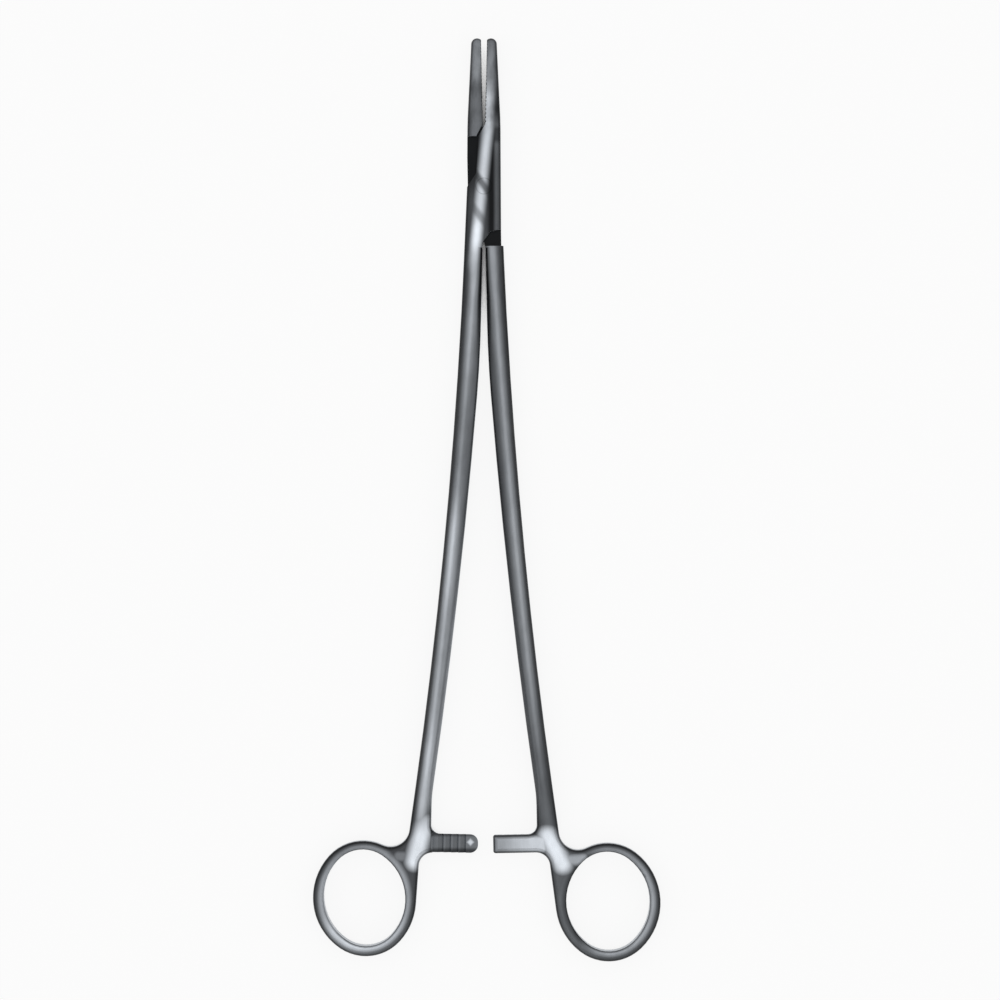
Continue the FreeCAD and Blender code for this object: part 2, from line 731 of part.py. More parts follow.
def forge_box_half():
    """The half whose box surrounds the other half's tongue."""
    half = Half("box_half", "box", -1)
    forge_common(half)
    jaw_corner, jaw_far = web_corner(known("jaw_shoulder"), lip)
    shank_corner, shank_far = web_corner(known("shank_shoulder"), gap)
    past_jaw = known("box_head") + CLEAR
    past_foot = -known("box_foot") - CLEAR
    slot_high = known("tongue_thick") + 2 * known("slot_play")
    half.cut("tongue_slot", [
        (-lip, past_jaw),
        (-lip, known("jaw_shoulder")),
        (-jaw_corner[0], jaw_corner[1]),
        (-jaw_far[0], jaw_far[1]),
        (-CLEAR, past_foot),
        (gap, past_foot),
        (gap, -known("shank_shoulder")),
        (shank_corner[0], -shank_corner[1]),
        (shank_far[0], -shank_far[1]),
        (CLEAR, past_jaw),
    ], slot_high, half_thick + slot_high / 2)
    half.cut("upper_cheek_edge", [
        (-lip, past_jaw),
        (-lip, known("crotch_up")),
        ("cheek_over", known("jaw_shoulder")),
        ("cheek_bend_out", known("cheek_bend_up")),
        (CLEAR, known("cheek_bend_up") - (CLEAR - known("cheek_bend_out")) * upper_slope),
        (CLEAR, past_jaw),
    ])
    half.cut("lower_cheek_edge", [
        (gap, past_foot),
        (gap, -known("crotch_down")),
        (-known("notch_out"), -known("notch_down")),
        (-CLEAR, (CLEAR - known("notch_out")) * lower_slope - known("notch_down")),
        (-CLEAR, past_foot),
    ])
    revolve(half.body, "pin_seat", "Groove", [
        (0, -1),
        ("pin_head_radius", -1),
        ("pin_head_radius", 0),
        ("pin_radius", "pin_head_deep"),
        ("pin_radius", known("box_thick") - "pin_head_deep"),
        ("pin_head_radius", "box_thick"),
        ("pin_head_radius", known("box_thick") + 1),
        (0, known("box_thick") + 1),
    ])
    half.cut_bar()
    half.cut_jaw_face()
    half.settle()
    return half.body


def forge_tongue_half():
    """The half whose flat tongue turns inside the box."""
    half = Half("tongue_half", "tongue", 1)
    forge_common(half)
    hub = known("tongue_half")
    jaw_flank = flank(known("jaw_shoulder"), -lip, hub)
    shank_flank = flank(known("shank_shoulder"), -gap, hub)
    jaw_touch = on_circle(hub, jaw_flank)
    shank_touch = on_circle(hub, shank_flank)
    jaw_shoulder = known("jaw_shoulder")
    shank_shoulder = -known("shank_shoulder")
    half.cut("jaw_side_of_tongue", [
        (CLEAR, jaw_shoulder + CLEAR),
        (-lip, jaw_shoulder + CLEAR),
        (-lip, jaw_shoulder),
        jaw_touch,
        Arc((hub, known(0)), hub, 1),
        (hub, shank_shoulder),
        (CLEAR, shank_shoulder),
    ])
    half.cut("shank_side_of_tongue", [
        (-CLEAR, shank_shoulder - CLEAR),
        (gap, shank_shoulder - CLEAR),
        (gap, shank_shoulder),
        (-shank_touch[0], -shank_touch[1]),
        Arc((-hub, known(0)), hub, 1),
        (-hub, jaw_shoulder),
        (-CLEAR, jaw_shoulder),
    ])
    play = known("cheek_play") * hypotenuse(known(1), crotch_slope)

    def beside_cheek(y):
        return lip - play - (known("crotch_up") - y) * crotch_slope

    past_cheek = known("crotch_up") + play + lip
    relief = [
        (-CLEAR, jaw_shoulder),
        (beside_cheek(jaw_shoulder), jaw_shoulder),
        (beside_cheek(past_cheek), past_cheek),
        (CLEAR, past_cheek),
        (CLEAR, shank_shoulder),
        (-CLEAR, shank_shoulder),
    ]
    half.cut("upper_relief", relief, known("box_thick"), half_thick + known("tongue_thick") / 2, True)
    half.cut("lower_relief", relief, known("box_thick"), half_thick - known("tongue_thick") / 2)
    hole = new_sketch(half.body, "pin_hole_outline")
    draw_circle(hole, known("pin_radius") + known("pin_play"))
    pocket(half.body, "pin_hole", hole)
    half.cut_bar()
    half.cut_jaw_face()
    half.settle()
    return half.body


def turn_joint_pin():
    """The rivet, flared into both cheeks."""
    body = doc.addObject("PartDesign::Body", "joint_pin")
    body.Label = "joint_pin"
    revolve(body, "pin_turning", "Revolution", [
        (0, 0),
        ("pin_head_radius", 0),
        ("pin_radius", "pin_head_deep"),
        ("pin_radius", known("box_thick") - "pin_head_deep"),
        ("pin_head_radius", "box_thick"),
        (0, "box_thick"),
    ])
    return body


pieces = (forge_box_half(), forge_tongue_half(), turn_joint_pin())
doc.recompute()
for item in doc.Objects:
    if "Invalid" in item.State or "Error" in item.State:
        raise RuntimeError(f"{item.Name} is in error")
os.makedirs("parts", exist_ok=True)
for piece in pieces:
    if piece.Shape.isNull() or not piece.Shape.isValid():
        raise RuntimeError(f"{piece.Label} is not a valid shape")
    piece.Shape.exportStep(f"parts/{piece.Label}.step")
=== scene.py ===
"""Needle holder in satin and polished steel, lying flat on a pale table."""

from __future__ import annotations

import logging
import math
from dataclasses import dataclass
from enum import Enum

import bmesh
import bpy
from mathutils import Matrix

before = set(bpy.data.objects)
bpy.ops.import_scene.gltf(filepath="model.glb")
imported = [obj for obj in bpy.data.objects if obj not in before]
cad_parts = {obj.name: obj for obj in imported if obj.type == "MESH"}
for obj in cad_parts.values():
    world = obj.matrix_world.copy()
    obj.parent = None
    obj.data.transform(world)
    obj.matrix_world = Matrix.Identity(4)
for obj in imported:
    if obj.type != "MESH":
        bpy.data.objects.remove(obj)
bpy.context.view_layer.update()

log = logging.getLogger("needle_holder")

Point = tuple[float, float]
Colour = tuple[float, float, float, float]

MM = 0.001
REST_TURN = math.radians(1.1)  # each half's turn from closed to where it rests
BAR_MIDDLE = -188.7  # Y of the ratchet bars' middle line, in millimetres
WHITE: Colour = (1.0, 1.0, 1.0, 1.0)
BLACK: Colour = (0.0, 0.0, 0.0, 1.0)


class Side(Enum):
    """Which side of the joint a half's shank lies on, as the sign of X."""

    LEFT = -1
    RIGHT = 1


class Signal:
    """A shader value that can be added, multiplied and compared like a number."""

    def __init__(self, graph: Graph, socket: bpy.types.NodeSocket) -> None:
        """Wrap an output socket of a graph."""
        self.graph = graph
        self.socket = socket

    def _maths(self, operation: str, *values: Signal | float) -> Signal:
        """Join values with one Math node.

        Args:
            operation: The Math node's operation.
            values: Its inputs, in order.

        Returns:
            The node's result.
        """
        inputs = dict(enumerate(values))
        return self.graph.node("ShaderNodeMath", {"operation": operation}, inputs)

    def __add__(self, other: Signal | float) -> Signal:
        """The sum."""
        return self._maths("ADD", self, other)

    def __radd__(self, other: float) -> Signal:
        """The sum, number first."""
        return self._maths("ADD", other, self)

    def __sub__(self, other: Signal | float) -> Signal:
        """The difference."""
        return self._maths("SUBTRACT", self, other)

    def __rsub__(self, other: float) -> Signal:
        """The difference, number first."""
        return self._maths("SUBTRACT", other, self)

    def __mul__(self, other: Signal | float) -> Signal:
        """The product."""
        return self._maths("MULTIPLY", self, other)

    def __rmul__(self, other: float) -> Signal:
        """The product, number first."""
        return self._maths("MULTIPLY", other, self)

    def __truediv__(self, other: Signal | float) -> Signal:
        """The quotient."""
        return self._maths("DIVIDE", self, other)

    def __abs__(self) -> Signal:
        """The size without its sign."""
        return self._maths("ABSOLUTE", self)

    def root(self) -> Signal:
        """The square root."""
        return self._maths("SQRT", self)

    def at_most(self, other: Signal | float) -> Signal:
        """The smaller of two."""
        return self._maths("MINIMUM", self, other)

    def at_least(self, other: Signal | float) -> Signal:
        """The larger of two."""
        return self._maths("MAXIMUM", self, other)

    def towards(self, other: Signal | float, share: Signal) -> Signal:
        """This value mixed with another one's share."""
        return self * (1 - share) + share * other

    def rise(self, low: float, high: float) -> Signal:
        """A smooth step from 0 at low to 1 at high.

        Args:
            low: Where the step starts.
            high: Where it is complete; below low for a falling step.

        Returns:
            The step, between 0 and 1.
        """
        settings = {"interpolation_type": "SMOOTHSTEP"}
        if low < high:
            return self.graph.node("ShaderNodeMapRange", settings, {0: self, 1: low, 2: high})
        return 1 - self.graph.node("ShaderNodeMapRange", settings, {0: self, 1: high, 2: low})


class Graph:
    """The node tree of one material or of the world."""

    def __init__(
        self, owner: bpy.types.Material | bpy.types.World, output: str = "ShaderNodeOutputMaterial"
    ) -> None:
        """Start the tree with its output.

        Args:
            owner: The material or world to fill.
            output: The type of its output node.
        """
        owner.use_nodes = True
        self.tree = owner.node_tree
        self.tree.nodes.clear()
        self.output = self.tree.nodes.new(output)

    def node(
        self,
        kind: str,
        settings: dict[str, object],
        inputs: dict[int | str, Signal | float | tuple[float, ...]],
        output: int | str = 0,
    ) -> Signal:
        """Add one node.

        Args:
            kind: The node's type.
            settings: Its own settings, set before its sockets.
            inputs: Values or links for its sockets, by index or name.
            output: The output wanted.

        Returns:
            That output as a signal.
        """
        made = self.tree.nodes.new(kind)
        for name, value in settings.items():
            setattr(made, name, value)
        for key, value in inputs.items():
            if isinstance(value, Signal):
                self.tree.links.new(value.socket, made.inputs[key])
            else:
                made.inputs[key].default_value = value
        return Signal(self, made.outputs[output])

    def finish(self, surface: Signal) -> None:
        """Join a shader to the output."""
        self.tree.links.new(surface.socket, self.output.inputs["Surface"])

    def split(self, vector: Signal) -> tuple[Signal, Signal, Signal]:
        """The three parts of a vector."""
        made = self.node("ShaderNodeSeparateXYZ", {}, {0: vector}).socket.node
        return tuple(Signal(self, made.outputs[axis]) for axis in range(3))

    def scaled(self, vector: Signal, scale: tuple[float, float, float]) -> Signal:
        """A vector stretched along its axes."""
        return self.node("ShaderNodeVectorMath", {"operation": "MULTIPLY"}, {0: vector, 1: scale})

    def tint(self, amount: Signal, low: Colour, high: Colour) -> Signal:
        """A colour between two, by amount."""
        settings = {"data_type": "RGBA", "blend_type": "MIX"}
        return self.node("ShaderNodeMix", settings, {0: amount, 6: low, 7: high}, 2)

    def mixed(self, first: Signal, second: Signal, share: Signal) -> Signal:
        """One shader mixed with another one's share."""
        return self.node("ShaderNodeMixShader", {}, {0: share, 1: first, 2: second})


@dataclass(frozen=True)
class Fade:
    """A smooth change that starts at one distance and is complete at another."""

    start: float
    full: float
    change: float = 1.0

    def over(self, distance: Signal) -> Signal:
        """How much it adds at each distance."""
        return distance.rise(self.start, self.full) * self.change


@dataclass(frozen=True)
class Noise:
    """Noise stretched along the axes, and how far it changes tone, roughness and height."""

    repeats_per_metre: tuple[float, float, float]
    detail: float
    tone: float
    rough: float = 0.0
    height: float = 0.0

    def at(self, graph: Graph, place: Signal) -> Signal:
        """Look the noise up.

        Args:
            graph: The tree to add it to.
            place: Object coordinates in metres.

        Returns:
            The noise, from 0 to 1.
        """
        inputs = {"Vector": graph.scaled(place, self.repeats_per_metre), "Scale": 1.0, "Detail": self.detail}
        return graph.node("ShaderNodeTexNoise", {"noise_dimensions": "3D"}, inputs)


@dataclass(frozen=True)
class Spot:
    """A place on the surface in millimetres, as it rests and as on the closed tool.

    As it rests, it lies across and along the tool and up from the table, and aside is its distance
    towards the half's own shank. On the closed tool it lies out from the middle and down from the joint.
    """

    across: Signal
    along: Signal
    up: Signal
    aside: Signal
    out: Signal
    down: Signal


@dataclass(frozen=True)
class Ring:
    """A finger ring's middle line on the closed tool in millimetres, and the light and shade painted on it.

    Its foot is painted lighter by one change, and its near side is painted in shade by the other.
    """

    out: float
    down: float
    half_wide: float
    half_long: float
    foot: Fade
    near: Fade


@dataclass(frozen=True)
class Tone:
    """A stretch of shank that is lighter or darker than the rest."""

    down: float
    fade: Fade


@dataclass(frozen=True)
class Flat:
    """A ground flat along a straight run between two points, in millimetres aside and along."""

    start: Point
    end: Point
    edge: Fade

    def share(self, spot: Spot) -> Signal:
        """How far each place belongs to the flat.

        Args:
            spot: The place.

        Returns:
            The share, full on the run itself.
        """
        run = (self.end[0] - self.start[0], self.end[1] - self.start[1])
        squared = run[0] * run[0] + run[1] * run[1]
        beside, below = spot.aside - self.start[0], spot.along - self.start[1]
        reached = (beside * (run[0] / squared) + below * (run[1] / squared)).at_least(0.0).at_most(1.0)
        beside, below = beside - reached * run[0], below - reached * run[1]
        return self.edge.over((beside * beside + below * below).root())


@dataclass(frozen=True)
class PaintedSlantShade:
    """A line of painted shade that slants across the box, at along + across * lean = place."""

    lean: float
    place: float
    edge: Fade

    def share(self, spot: Spot) -> Signal:
        """How much light the painted shade takes away."""
        return self.edge.over(abs(spot.along + spot.across * self.lean - self.place))


@dataclass(frozen=True)
class ForgedSteel:
    """Steel of a forging: satin shank and ring, ground flats with a painted highlight, and rounded edges in
    painted shade.

    A level is the base colour, with the light and shade seen on the steel painted in, before it is
    brightened as a whole.
    """

    name: str
    side: Side
    shank_level: float
    tones: tuple[Tone, ...]
    flats: tuple[Flat, ...]
    ring: Ring
    lit_share: float
    steel: Colour = (0.885, 0.935, 1.0, 1.0)
    bright: float = 1.75
    roughness: float = 0.4
    edge_roughness: float = 0.05
    ground_smoothness: float = 0.12
    streaks: Noise = Noise((5200.0, 420.0, 5200.0), 3.0, 0.22, 0.14, 0.004)
    grain: Noise = Noise((9000.0, 9000.0, 9000.0), 2.0, 0.12, 0.0, 0.003)
    clouds: Noise = Noise((420.0, 170.0, 420.0), 3.0, 0.35)
    jaw_clouds: Fade = Fade(14.0, 20.0, 1.2)
    rounded_from: Fade = Fade(1.0, 0.62)
    rounded_to: Fade = Fade(0.05, 0.35)
    rounded_painted_shade: float = 0.7
    upright: Fade = Fade(0.3, 0.06)
    upright_level: float = 0.3
    ground_painted_highlight: float = 0.45
    ground_top: Fade = Fade(-174.0, -188.0)
    middle_bow: float = 0.000223
    middle_lean: float = 0.0333
    middle_out: float = 1.35
    shank_half_wide: float = 2.7
    shank_edge_painted_shade: float = 0.04
    shank_edge: Fade = Fade(0.97, 0.08)
    crown_deep: float = 0.85
    crown_top: Fade = Fade(20.0, 34.0)
    crown_foot: Fade = Fade(181.0, 168.0)
    lit_gain: float = 0.12
    lit_inside: Fade = Fade(0.0, -0.5)
    lit_start: float = 0.45
    lit_lower: Fade = Fade(85.0, 130.0, 0.55)
    lit_top: Fade = Fade(22.0, 40.0)
    lit_foot: Fade = Fade(185.0, 175.0)
    far_wall: Fade = Fade(1.03, 0.97)
    far_side: Fade = Fade(0.3, 0.8)
    far_top: Fade = Fade(188.0, 192.0)
    ring_level: float = 0.17
    ring_start: Fade = Fade(176.0, 192.0)
    ring_outer: float = 0.3
    ring_crest: Fade = Fade(1.06, 0.92, 1.12)
    ring_lip: Fade = Fade(0.91, 0.88, -0.4)
    ring_head: float = 0.8
    ring_sides: Fade = Fade(-0.9, 0.0, 0.2)
    shade_level: float = 0.48
    shade_inner: Fade = Fade(1.02, 0.93, -0.3)

    def make(self) -> bpy.types.Material:
        """Build the node material.

        Returns:
            The finished material.
        """
        material = bpy.data.materials.new(self.name)
        graph = Graph(material)
        place = graph.node("ShaderNodeTexCoord", {}, {}, "Object")
        facing = abs(graph.split(graph.node("ShaderNodeTexCoord", {}, {}, "Normal"))[2])
        spot = self.spot(graph, place)
        streaks, grain = self.streaks.at(graph, place), self.grain.at(graph, place)
        rounded = self.rounded_from.over(facing) * self.rounded_to.over(facing)
        upright = self.upright.over(facing)
        ground = self.ground(spot)
        uneven = (self.clouds.at(graph, place) - 0.5) * (self.jaw_clouds.over(spot.along) + self.clouds.tone)
        uneven = uneven + (streaks - 0.5) * self.streaks.tone + (grain - 0.5) * self.grain.tone
        # Ground flats are smoother, and they also get a painted highlight in the base colour.
        level = self.level(spot).at_least(ground * self.ground_painted_highlight) * (1 + uneven)
        # Painted shade on the rounded edges, except where painted light lifts them.
        level = level * (1 - rounded * (1 - self.lit_side(spot)) * self.rounded_painted_shade)
        level = level.towards(self.upright_level, upright) * self.bright
        satin = (streaks - 0.5) * self.streaks.rough + rounded * self.edge_roughness
        height = self.crown(spot) + streaks * self.streaks.height + grain * self.grain.height
        graph.finish(graph.node("ShaderNodeBsdfPrincipled", {}, {
            "Base Color": graph.tint(level.at_least(0.0).at_most(1.0), BLACK, self.steel),
            "Metallic": 1.0,
            "Roughness": satin - ground * self.ground_smoothness + self.roughness,
            "Normal": graph.node("ShaderNodeBump", {}, {"Strength": 1.0, "Distance": MM, "Height": height}),
        }))
        return material

    def spot(self, graph: Graph, place: Signal) -> Spot:
        """Measure each place from the joint, as it rests and as on the closed tool.

        Args:
            graph: The material's tree.
            place: Object coordinates in metres.

        Returns:
            The place in millimetres.
        """
        across, along, up = graph.split(graph.scaled(place, (1 / MM, 1 / MM, 1 / MM)))
        aside = across * float(self.side.value)
        out = aside * math.cos(REST_TURN) + along * math.sin(REST_TURN)
        down = aside * math.sin(REST_TURN) - along * math.cos(REST_TURN)
        return Spot(across, along, up, aside, out, down)

    def shank_offset(self, spot: Spot) -> Signal:
        """Distance from the shank's middle line, in half widths."""
        middle = spot.down * (spot.down * self.middle_bow + self.middle_lean) + self.middle_out
        return (spot.out - middle) / self.shank_half_wide

    def ring_place(self, spot: Spot) -> tuple[Signal, Signal, Signal]:
        """Find each place on the ring's oval.

        Args:
            spot: The place.

        Returns:
            Its place sideways and lengthways, and its reach, which is 1 on the middle line.
        """
        sideways = (spot.out - self.ring.out) / self.ring.half_wide
        lengthways = (spot.down - self.ring.down) / self.ring.half_long
        return sideways, lengthways, (sideways * sideways + lengthways * lengthways).root()

    def lit_side(self, spot: Spot) -> Signal:
        """How far painted light lifts the rounded edges.

        Args:
            spot: The place.

        Returns:
            The share, for the shank's inner side and the ring's far wall.
        """
        strength = self.lit_lower.over(spot.down) + self.lit_start
        ends = self.lit_top.over(spot.down) * self.lit_foot.over(spot.down)
        shank = self.lit_inside.over(self.shank_offset(spot)) * strength * ends
        sideways, _, reach = self.ring_place(spot)
        far = self.far_wall.over(reach) * self.far_side.over(sideways) * self.far_top.over(spot.down)
        return (shank + far) * self.lit_share

    def ground(self, spot: Spot) -> Signal:
        """How far each place belongs to the ground flats between shank, bar and ring.

        Args:
            spot: The place.

        Returns:
            The share.
        """
        shares = [flat.share(spot) for flat in self.flats]
        share = shares[0]
        for other in shares[1:]:
            share = share.at_least(other)
        return share * self.ground_top.over(spot.along)

    def level(self, spot: Spot) -> Signal:
        """The level all over the half, ground flats aside, with painted shade along the shank's edges.

        Args:
            spot: The place.

        Returns:
            The level.
        """
        # Painted shade along the shank's edges, lifted where painted light falls on them.
        edge = self.lit_side(spot) * self.lit_gain + self.shank_edge_painted_shade
        inward = self.shank_edge.over(abs(self.shank_offset(spot)))
        share = 1.0
        for tone in self.tones:
            share = tone.fade.over(abs(spot.down - tone.down)) + share
        shank = edge.towards(share * self.shank_level, inward * inward)
        handle = shank.towards(self.ring_sheen(spot), self.ring_start.over(spot.down))
        return self.head_level(spot, self.bar_level(spot, handle))

    def ring_sheen(self, spot: Spot) -> Signal:
        """The finger ring's level: a painted sheen towards its hole, painted shade outside.

        Args:
            spot: The place.

        Returns:
            The level.
        """
        sideways, lengthways, reach = self.ring_place(spot)
        ends = self.ring_sides.over(lengthways) + self.ring.foot.over(lengthways) + self.ring_head
        lit = self.ring_crest.over(reach) + self.ring_lip.over(reach) + self.ring_outer
        shade = self.shade_inner.over(reach) + self.shade_level
        return lit.towards(shade, self.ring.near.over(sideways)) * ends * self.ring_level

    def bar_level(self, spot: Spot, handle: Signal) -> Signal:
        """The level below the joint with the ratchet bar in it; a plain bar is a ground flat."""
        return handle

    def head_level(self, spot: Spot, handle: Signal) -> Signal:
        """The level with the jaw and the joint's part of the half in it."""
        raise NotImplementedError

    def crown(self, spot: Spot) -> Signal:
        """Height of the gentle crown across the shank's flat.

        Args:
            spot: The place.

        Returns:
            The height in millimetres.
        """
        offset = self.shank_offset(spot)
        dome = (1 - offset * offset).at_least(0.0)
        shank = self.crown_top.over(spot.down) * self.crown_foot.over(spot.down)
        return dome * dome * shank * self.crown_deep


@dataclass(frozen=True)
class BoxHalfSteel(ForgedSteel):
    """Steel of the box half: a bright band of painted highlight from jaw to shank, and a bar with teeth on
    top, painted in shade.
    """

    name: str = "box_half_steel"
    side: Side = Side.LEFT
    shank_level: float = 0.24
    tones: tuple[Tone, ...] = (
        Tone(72.0, Fade(30.0, 5.0, -0.35)),
        Tone(105.0, Fade(20.0, 5.0, 0.4)),
        Tone(170.0, Fade(22.0, 5.0, 0.4)),
    )
    flats: tuple[Flat, ...] = (
        Flat((16.9, -182.0), (19.9, -193.6), Fade(4.2, 0.5)),
        Flat((20.0, -192.4), (24.5, -192.2), Fade(2.4, 0.5, 0.26)),
    )
    ring: Ring = Ring(30.4, 204.8, 13.3, 15.3, Fade(0.2, 0.9, 0.7), Fade(0.0, -0.7, 0.0))
    lit_share: float = 1.0
    teeth_middle: float = -188.4
    teeth_end: Fade = Fade(15.6, 14.9)
    teeth_side: Fade = Fade(4.2, 3.0)
    teeth_painted_shade: float = 0.03
    teeth_middle_highlight: Fade = Fade(2.4, 1.2, 0.075)
    tip_out: float = 3.9
    tip_glint: Fade = Fade(1.9, 0.3, 0.8)
    band_lean: float = 0.105
    band_out: float = -0.6
    band_edge: Fade = Fade(2.3, 0.1)
    band_painted_highlight: float = 0.36
    band_foot: Fade = Fade(-8.0, -13.0, 0.16)
    band_end: Fade = Fade(-15.0, -20.0, -0.22)
    slant_shades: tuple[PaintedSlantShade, PaintedSlantShade] = (
        PaintedSlantShade(1.4, 0.1, Fade(2.7, 0.5, 0.75)),
        PaintedSlantShade(1.25, -10.0, Fade(2.7, 0.5, 0.55)),
    )
    cheek_painted_shade: float = 0.008
    right_edge: Fade = Fade(2.4, 3.8)
    right_cheek_shade: float = 0.062
    right_top: Fade = Fade(4.0, 14.0, 0.02)
    right_spot: float = 14.8
    right_painted_shadow: Fade = Fade(3.2, 1.2, -0.7)
    left_edge: Fade = Fade(1.9, 0.4)
    left_cheek_shade: float = 0.012
    left_foot: Fade = Fade(3.0, -5.0, 0.02)
    pin_head: float = 2.3
    pin_seam: Fade = Fade(0.2, 0.0, 0.35)
    jaw_lean: float = 0.04
    jaw_out: float = 0.1
    jaw_edge: Fade = Fade(2.5, 0.2)
    jaw_shine: float = 0.32
    jaw_shine_loss: float = 0.26
    jaw_level: float = 0.02
    jaw_level_gain: float = 0.055
    jaw_sheen_fade: Fade = Fade(20.0, 36.0)
    jaw_start: Fade = Fade(16.0, 23.0)
    box_start: Fade = Fade(-26.0, -18.0)

    def ground(self, spot: Spot) -> Signal:
        """The flats end at the teeth, and the tip of the bar has a ground spot of its own, with a painted
        glint.

        Args:
            spot: The place.

        Returns:
            The share.
        """
        flats = super().ground(spot) * (1 - self.teeth_end.over(spot.aside))
        from_tip = abs(spot.aside - self.tip_out) + abs(spot.along - self.teeth_middle)
        return flats.at_least(self.tip_glint.over(from_tip))

    def bar_level(self, spot: Spot, handle: Signal) -> Signal:
        """The level below the joint with the toothed bar in it.

        Args:
            spot: The place.
            handle: The level of shank and ring.

        Returns:
            The level.
        """
        bar = self.teeth_side.over(abs(spot.along - BAR_MIDDLE)) * self.teeth_end.over(spot.aside)
        # The teeth are painted in shade, lighter along the bar's middle as a painted highlight.
        teeth = self.teeth_middle_highlight.over(abs(spot.along - self.teeth_middle)) + self.teeth_painted_shade
        return handle.towards(teeth, bar)

    def head_level(self, spot: Spot, handle: Signal) -> Signal:
        """The level with the box and the jaw in it.

        Args:
            spot: The place.
            handle: The level below the joint.

        Returns:
            The level.
        """
        from_joint = (spot.across * spot.across + spot.along * spot.along).root()
        seam = self.pin_seam.over(abs(from_joint - self.pin_head))
        box = (self.band(spot) + self.cheeks(spot)) * (1 - seam)
        head = box.towards(self.jaw(spot), self.jaw_start.over(spot.along))
        return handle.towards(head, self.box_start.over(spot.along))

    def band(self, spot: Spot) -> Signal:
        """The painted highlight along the box's crown, crossed by two lines of painted shade.

        Args:
            spot: The place.

        Returns:
            What it adds to the level.
        """
        beside = abs(spot.across - spot.along * self.band_lean - self.band_out)
        sheen = self.band_foot.over(spot.along) + self.band_end.over(spot.along) + self.band_painted_highlight
        upper, lower = self.slant_shades
        return self.band_edge.over(beside) * sheen * (1 - (upper.share(spot) + lower.share(spot)))

    def cheeks(self, spot: Spot) -> Signal:
        """The cheek on both sides of the band, in painted shade.

        Args:
            spot: The place.

        Returns:
            What it adds to the level.
        """
        # Painted shade on the sloping sides of the cheek, deepest on the right just below the jaw.
        dark = self.right_painted_shadow.over(abs(spot.along - self.right_spot)) + 1.0
        right = (self.right_top.over(spot.along) + self.right_cheek_shade) * dark
        left = self.left_foot.over(spot.along) + self.left_cheek_shade
        right, left = right * self.right_edge.over(spot.across), left * self.left_edge.over(spot.across)
        return right + left + self.cheek_painted_shade

    def jaw(self, spot: Spot) -> Signal:
        """The jaw's level: a painted sheen along its middle that fades towards the tip.

        Args:
            spot: The place.

        Returns:
            The level.
        """
        dull = self.jaw_sheen_fade.over(spot.along)
        beside = abs(spot.across - spot.along * self.jaw_lean - self.jaw_out)
        sheen = self.jaw_edge.over(beside) * (self.jaw_shine - dull * self.jaw_shine_loss)
        return sheen + dull * self.jaw_level_gain + self.jaw_level


@dataclass(frozen=True)
class TongueHalfSteel(ForgedSteel):
    """Steel of the tongue half: a dark jaw with a painted highlight on its crest, a tongue in the box
    painted dark as darker steel in painted shade, and a plain ground bar.
    """

    name: str = "tongue_half_steel"
    side: Side = Side.RIGHT
    shank_level: float = 0.19
    tones: tuple[Tone, ...] = (
        Tone(180.0, Fade(50.0, 5.0, -0.55)),
        Tone(105.0, Fade(20.0, 5.0, 0.12)),
    )
    flats: tuple[Flat, ...] = (
        Flat((18.2, -186.0), (22.6, -194.6), Fade(4.2, 0.5)),
        Flat((22.0, -193.5), (28.5, -193.0), Fade(2.6, 0.5, 0.5)),
    )
    ring: Ring = Ring(31.7, 205.9, 13.6, 15.6, Fade(0.2, 0.9, 0.1), Fade(0.0, -0.7, 0.9))
    lit_share: float = 0.35
    bar_side: Fade = Fade(3.2, 1.4)
    bar_end: Fade = Fade(19.0, 17.0)
    bar_share: float = 0.42
    bar_root: Fade = Fade(3.0, 16.0, 0.4)
    jaw_out: float = -2.6
    jaw_level: float = 0.05
    jaw_crest_highlight: Fade = Fade(2.4, 0.4, 0.05)
    jaw_tip: Fade = Fade(28.0, 36.0, 0.06)
    shank_start: Fade = Fade(-16.9, -17.3)
    tongue_height: float = 3.3
    tongue_dark_and_shade: float = 0.008
    tongue_thick: Fade = Fade(1.9, 1.5)
    tongue_long: Fade = Fade(17.3, 17.0)

    def ground(self, spot: Spot) -> Signal:
        """The flats run on along the plain bar.

        Args:
            spot: The place.

        Returns:
            The share.
        """
        beside = self.bar_side.over(abs(spot.along - BAR_MIDDLE)) * self.bar_end.over(spot.aside)
        return super().ground(spot).at_least(beside * (self.bar_root.over(spot.aside) + self.bar_share))

    def head_level(self, spot: Spot, handle: Signal) -> Signal:
        """The level with the jaw and the tongue in it.

        Args:
            spot: The place.
            handle: The level below the joint.

        Returns:
            The level.
        """
        # A painted highlight along the jaw's crest, lighter towards the tip.
        jaw = self.jaw_crest_highlight.over(abs(spot.across - self.jaw_out)) + self.jaw_tip.over(spot.along)
        head = (jaw + self.jaw_level).towards(handle, self.shank_start.over(spot.along))
        # The tongue in the box is painted dark: darker steel, and painted shade where it lies below the
        # cheek.
        within = self.tongue_thick.over(abs(spot.up - self.tongue_height))
        return head.towards(self.tongue_dark_and_shade, within * self.tongue_long.over(abs(spot.along)))


@dataclass
class SteelPiece:
    """A piece that keeps its own solid and takes a steel finish."""

    node: str
    steel: ForgedSteel

    def dress(self) -> None:
        """Give the solid its steel."""
        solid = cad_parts[self.node]
        solid.data.materials.clear()
        solid.data.materials.append(self.steel.make())
        log.info("%s dressed in %s", self.node, self.steel.name)


@dataclass
class BoxHalf(SteelPiece):
    """Right jaw, box, left shank, toothed bar and left ring, in one forging."""

    node: str = "box_half"
    steel: ForgedSteel = BoxHalfSteel()


@dataclass
class TongueHalf(SteelPiece):
    """Left jaw, tongue, right shank, plain-topped bar and right ring, in one forging."""

    node: str = "tongue_half"
    steel: ForgedSteel = TongueHalfSteel()


@dataclass
class JointPin(SteelPiece):
    """The rivet, whose heads are ground flush with the cheeks and take the box half's steel, painted light
    and shade included.
    """

    node: str = "joint_pin"
    steel: ForgedSteel = BoxHalfSteel(name="pin_steel")


